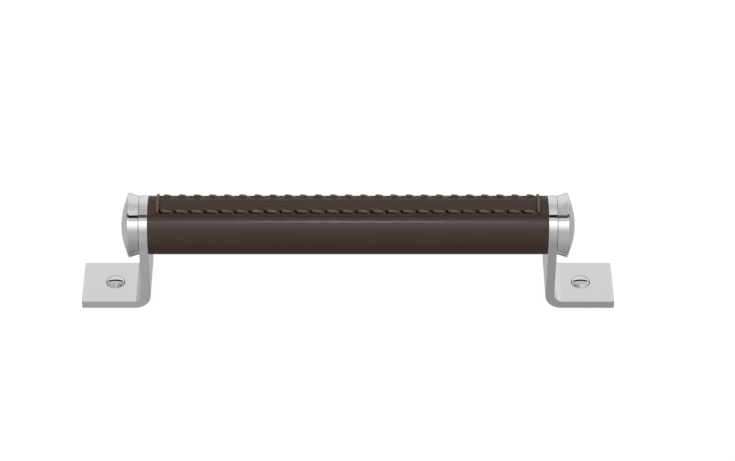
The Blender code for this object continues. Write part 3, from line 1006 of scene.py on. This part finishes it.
def row_dents(x, across, row):
    """Height of one row (slanted pits, their lips and a groove under each stitch) and painted shade
    in the pits and under each stitch.
    """
    place = (x - ROW_SHIFT[row]) / ROW_SPREAD[row] + ROW_END
    along = place - PITCH * np.clip(np.round(place / PITCH), 0, STITCH_COUNT)
    off = across - row * ROW_OFFSET
    past, beside = along - HOLE_PLACE[0], off + row * HOLE_PLACE[1]
    down = (past - beside) / math.sqrt(2)
    over = (past + beside) / math.sqrt(2)
    reach = (down / PIT_LENGTH) ** 2 + (over / PIT_WIDTH) ** 2
    lip_along, lip_over = along - LIP_PLACE[0], -row * off - LIP_PLACE[1]
    lip = (lip_along / LIP_SIZE[0]) ** 2 + (lip_over / LIP_SIZE[1]) ** 2
    inside = ramp(np.abs(x), ROW_END + LIP_LIMITS[0], ROW_END + LIP_LIMITS[1])
    share = place / PITCH % 1
    under = ramp(share, *GROOVE_START) * ramp(share, *GROOVE_STOP)
    under = under * (place > 0) * (place < 2 * ROW_END)
    height = LIP_HEIGHT * np.exp(-lip) * inside - PIT_DEPTH * np.exp(-(reach**2))
    height -= GROOVE_DEPTH * under * np.exp(-((off / GROOVE_WIDTH) ** 4))
    # Painted shade under each stitch, widest near its middle.
    middle = np.exp(-(((share - STITCH_SHADE_PLACE[0]) / STITCH_SHADE_PLACE[1]) ** 2))
    width = PRESSED_WIDTH * (STITCH_SHADE_ENDS + STITCH_SHADE_SWELL * middle)
    stitch_shade = under * np.exp(-((off / width) ** 8))
    return height, np.maximum(np.exp(-((reach / PIT_SHADE) ** 2)), stitch_shade)


def cross_dents(x, across):
    """Height of the cross stitches (two round pits and the groove between them) and painted shade
    in both.
    """
    past = np.abs(x) - ROW_END - CROSS_SHIFT
    reach = (past / CROSS_PIT) ** 2 + ((np.abs(across) - CROSS_REACH) / CROSS_PIT) ** 2
    pit = np.exp(-(reach**2))
    between = ramp(np.abs(across), CROSS_REACH, CROSS_REACH - CROSS_FADE)
    groove = between * np.exp(-((past / PRESSED_WIDTH) ** 4))
    return -PIT_DEPTH * pit - CROSS_GROOVE * groove, np.maximum(pit, CROSS_GROOVE_SHADE * groove)


def leather_relief(x, across):
    """Height above the plain sleeve, and darkness from 0 to 1: painted shade in the pits and
    grooves, and the dark seam line.
    """
    height, shade_and_seam = cross_dents(x, across)
    for row in (-1, 1):
        dent, shade = row_dents(x, across, row)
        height = height + dent
        shade_and_seam = np.maximum(shade_and_seam, shade)
    height -= SEAM_DEPTH * np.exp(-((across / SEAM_SPREAD) ** 2))
    shade_and_seam = np.maximum(shade_and_seam, SEAM_DARK * np.exp(-((across / SEAM_LINE) ** 2)))
    past = np.clip(np.abs(x) - LEATHER_END + END_ROUNDING, 0, END_ROUNDING)
    return height - END_ROUNDING + np.sqrt(END_ROUNDING**2 - past**2), shade_and_seam


# %% [markdown]
# The grid is fine where the stitches are and coarse round the back. At the seam the two edges of
# the leather turn down in a small radius and nearly touch. The ring of points goes over the outside
# and back along the inside, so that the sleeve is a closed body with a real thickness.

# %% Make the sleeve
SEAM_HALF_GAP = 0.02 * MM
SEAM_ROUNDING = 0.10 * MM
FINE_STEP = 0.1 * MM
FINE_REACH = 0.8 * MM
FINE_BAND = (1.0 * MM, 0.9 * MM)
COARSE_STEPS = 8
SEAM_STEPS = (0.12 * MM, 0.3 * MM)
SHOULDER_STEP = 0.7 * MM
BACK_STEP = 2.2 * MM
END_STEP = 0.5 * MM
INSIDE_COLUMNS = 25


def steps(low, high, size):
    """Even steps of about the given size, without the last point."""
    return np.linspace(low, high, max(2, round((high - low) / size)) + 1)[:-1]


def across_stations():
    """(across, drop): rounded lip, coarse, fine over the stitch row, and coarse to the far side."""
    turn = np.linspace(0, np.pi / 2, 5)
    lip = SEAM_HALF_GAP + SEAM_ROUNDING * (1 - np.cos(turn))
    drop = SEAM_ROUNDING * (1 - np.sin(turn))
    low, high = ROW_OFFSET - FINE_BAND[0], ROW_OFFSET + FINE_BAND[1]
    far = np.pi * GRIP_RADIUS
    half = np.concatenate([
        lip,
        steps(lip[-1] + SEAM_STEPS[0], low, SEAM_STEPS[1]),
        steps(low, high, FINE_STEP),
        steps(high, 2 * high, SHOULDER_STEP),
        steps(2 * high, far, BACK_STEP),
        [far],
    ])
    half_drop = np.concatenate([drop, np.zeros(len(half) - len(drop))])
    return np.concatenate([half, -half[-2::-1]]), np.concatenate([half_drop, half_drop[-2::-1]])


def along_stations():
    """Fine steps round each hole, coarse ones between them, and steps round the rolled ends."""
    fine = steps(-FINE_REACH, FINE_REACH, FINE_STEP)
    coarse = steps(FINE_REACH, PITCH - FINE_REACH, (PITCH - 2 * FINE_REACH) / COARSE_STEPS)
    cell = np.concatenate([fine, coarse])
    holes = -ROW_END + PITCH * np.arange(STITCH_COUNT)
    middle = (holes[:, None] + cell[None, :]).ravel()
    turn = np.linspace(0, np.pi / 2, 6)
    end = LEATHER_END - END_ROUNDING * (1 - np.sin(turn))
    last = steps(ROW_END - FINE_REACH, ROW_END + 2 * FINE_REACH, FINE_STEP)
    run = steps(ROW_END + 2 * FINE_REACH, end[0], END_STEP)
    start = np.concatenate([-end[::-1], -run[::-1], -last[:0:-1][: 2 * len(fine)]])
    start = start[start < middle[0] - FINE_STEP / 2]
    return np.concatenate([start, middle, last, run, end])


def make_sleeve():
    across, drop = across_stations()
    x = along_stations()[:, None]
    height, shade_and_seam = leather_relief(x, across)
    outside = rolled(x, across, height - drop)
    picked = np.round(np.linspace(len(across) - 1, 0, INSIDE_COLUMNS)).astype(int)
    inside = rolled(x, across[picked], np.full(INSIDE_COLUMNS, -LEATHER_THICKNESS))
    points = np.concatenate([outside, inside, outside[:, :1]], axis=1)
    # dent carries the painted shade of the pits and grooves, and the dark seam line, into the
    # finish.
    dent = np.concatenate([shade_and_seam, np.zeros((len(x), INSIDE_COLUMNS)), shade_and_seam[:, :1]], axis=1)
    rows, columns = points.shape[:2]
    start = end_faces(0, len(across), INSIDE_COLUMNS)
    end = start + (rows - 1) * columns
    faces = np.concatenate([grid_faces(points), start[:, ::-1], end])
    sleeve = make_piece("leather_sleeve", points, faces, sharp=60, values={"dent": dent})
    hand_over(sleeve, "leather_wrap", LEATHER)


make_sleeve()

# %% [markdown]
# ## Stitching
# One waxed thread runs down one row, over the seam, back along the other row and over the seam
# again. Its centre line rises out of each hole, lies along the leather and dives into the next
# hole. Its section is three strands side by side, and the section turns as it goes along, which
# is what makes a laid thread look like a rope. A curve with a round bevel would be quicker, but
# it shows no strands.

# %% Centre line of the thread
THREAD_RADIUS = 0.54 * MM
THREAD_DIP = -1.2 * MM
ROW_CREST = 0.28 * MM
CROSS_CREST = 0.56 * MM
RISE_START = 0.10
CREST_PLACE = 0.42
LEFT_STEEPNESS = 3.0
RIGHT_STEEPNESS = 2.6
HOLE_LEAN = 0.45 * MM
STITCH_SWING = 0.10 * MM
SQUEEZE = 0.55
SWELL = (0.08, 0.28)
TAPER = 0.46
SWELL_POWER = 0.8
# Rise of the thread at which its painted hole shade begins, and where it is full.
BURIED_SHADE_RISE = (0.64, 0.40)
SHOULDER = 0.45 * MM
LOOP_PULL = (0.25 * MM, 0.55 * MM)
CROSS_THINNING = 0.2 * MM
STEPS_PER_STITCH = 30
CROSS_STEPS = 36
LOOP_STEPS = 12
STRANDS = 3
TWISTS_PER_PITCH = 4
REAR_TWIST = 0.36
CROSS_TWIST = 6.61
FRONT_TWIST = REAR_TWIST + TWISTS_PER_PITCH * STITCH_COUNT + CROSS_TWIST
LAST_TWIST = REAR_TWIST + 71 * STRANDS  # whole turns, so that the loop closes


def rise(share):
    """0 in the holes at 0 and 1, and 1 at the crest, which is nearer to the stitch's left end."""
    left = 1 - np.clip((share - RISE_START) / (CREST_PLACE - RISE_START), 0, 1)
    right = 1 - np.clip((1 - share) / (1 - CREST_PLACE), 0, 1)
    return (1 - left**LEFT_STEEPNESS) * (1 - right**RIGHT_STEEPNESS)


def row_line(row, way):
    """One row, from left to right for way 1, as columns x, across, height and bulk.

    The bulk tells how much of the thread's full size is left, from 0 in a hole to 1.
    """
    count = np.arange(STITCH_COUNT * STEPS_PER_STITCH) / STEPS_PER_STITCH
    share = count % 1 if way > 0 else (-count) % 1
    up = rise(share)
    x = way * (-ROW_END + count * PITCH) * ROW_SPREAD[row] + ROW_SHIFT[row]
    across = row * (ROW_OFFSET - HOLE_LEAN * (1 - up)) + STITCH_SWING * np.sin(2 * np.pi * share)
    height = THREAD_DIP + (ROW_CREST - THREAD_DIP) * up
    bulk = np.minimum((share - SWELL[0]) / SWELL[1], (1.0 - share) / TAPER)
    return np.stack([x, across, height, np.clip(bulk, 0, 1) ** SWELL_POWER], axis=1)


def bezier(corners, steps):
    """Cubic curve that leaves the first corner for the second and meets the last from the third."""
    t = np.linspace(0, 1, steps, endpoint=False)[:, None]
    a, b, c, d = (np.array(corner) for corner in corners)
    return a * (1 - t) ** 3 + 3 * b * t * (1 - t) ** 2 + 3 * c * t**2 * (1 - t) + d * t**3


def crossing_line(side, start):
    """The cross stitch at one end: up beside the row's last hole, over the seam, and down again."""
    shoulder = CROSS_REACH - SHOULDER
    loop = bezier([
        (0, ROW_OFFSET - HOLE_LEAN, THREAD_DIP),
        (CROSS_SHIFT, CROSS_REACH - LOOP_PULL[0], THREAD_DIP),
        (CROSS_SHIFT, CROSS_REACH + LOOP_PULL[1], CROSS_CREST),
        (CROSS_SHIFT, shoulder, CROSS_CREST),
    ], LOOP_STEPS)
    share = np.linspace(1, -1, CROSS_STEPS + 1)
    over = np.stack(np.broadcast_arrays(CROSS_SHIFT, shoulder * share, CROSS_CREST), axis=1)
    back = loop[:0:-1] * (1, -1, 1)
    line = np.concatenate([loop, over, back])
    bulk = ramp(line[:, 2], THREAD_DIP, CROSS_CREST - CROSS_THINNING)
    return np.column_stack([line * (side, start, 1) + (side * ROW_END, 0, 0), bulk])


# %% [markdown]
# A frame travels along the line: the tangent, the direction away from the bar's axis made square
# to it, and their cross product. The outline of three touching strands is the far side of the
# nearest strand's circle, seen from the middle.

# %% Make the thread
STRAND_OFFSET = 0.44
STRAND_RADIUS = 0.56
ROUND_STEPS = 24


def strand_outline(angle):
    """Distance from the middle to the outline of the nearest strand, as a share of the radius."""
    sector = 2 * np.pi / STRANDS
    off = (angle + sector / 2) % sector - sector / 2
    half = np.sqrt(STRAND_RADIUS**2 - (STRAND_OFFSET * np.sin(off)) ** 2)
    return STRAND_OFFSET * np.cos(off) + half


def frame_along(centre):
    """Directions away from the bar's axis and beside the line, both square to the line."""
    tangent = np.roll(centre, -1, axis=0) - np.roll(centre, 1, axis=0)
    tangent /= np.linalg.norm(tangent, axis=1, keepdims=True)
    away = (centre - np.array([0, 0, AXIS_HEIGHT])) * (0, 1, 1)
    away -= tangent * np.einsum("ij,ij->i", away, tangent)[:, None]
    away /= np.linalg.norm(away, axis=1, keepdims=True)
    return away, np.cross(tangent, away)


def make_thread():
    rear, front = row_line(1, 1), row_line(-1, -1)
    right, left = crossing_line(1, 1), crossing_line(-1, -1)
    lines = (rear, right, front, left)
    turns = TWISTS_PER_PITCH * STITCH_COUNT
    knots = (REAR_TWIST, REAR_TWIST + turns, FRONT_TWIST, FRONT_TWIST + turns, LAST_TWIST)
    twist = np.concatenate([
        start + (end - start) * np.arange(len(line)) / len(line)
        for line, start, end in zip(lines, knots, knots[1:])
    ])
    x, across, height, bulk = np.concatenate(lines).T
    up = np.clip((height - THREAD_DIP) / (ROW_CREST - THREAD_DIP), 0, 1)
    centre = rolled(x, across, height)
    away, beside = frame_along(centre)
    angle = np.linspace(0, 2 * np.pi, ROUND_STEPS + 1)
    turn = 2 * np.pi * (twist[:, None] - REAR_TWIST) / STRANDS
    size = THREAD_RADIUS * (SQUEEZE + (1 - SQUEEZE) * bulk)[:, None]
    radius = size * strand_outline(angle[None, :] - turn - 2 * np.pi * REAR_TWIST / STRANDS)
    ring = away[:, None] * np.cos(angle)[:, None] + beside[:, None] * np.sin(angle)[:, None]
    points = centre[:, None] + ring * radius[..., None]
    points[:, -1] = points[:, 0]
    points = np.concatenate([points, points[:1]])
    length = np.arange(len(points))[:, None] / STEPS_PER_STITCH
    strand = (angle[None, :] - np.append(turn, turn[:1], axis=0)) / (2 * np.pi)
    uv = np.stack(np.broadcast_arrays(length, strand), axis=2)
    # Painted shade: the thread darkens as it sinks into a hole.
    buried = ramp(np.append(up, up[:1]), *BURIED_SHADE_RISE)[:, None]
    values = {"buried": np.broadcast_to(buried, points.shape[:2])}
    thread = make_piece("laid_thread", points, grid_faces(points), uv, 80, values)
    hand_over(thread, "seam_thread", THREAD)


make_thread()

# %% [markdown]
# ## Finish
# The colours are shown as they are, with the Standard view.

# %% View
bpy.context.scene.view_settings.view_transform = "Standard"
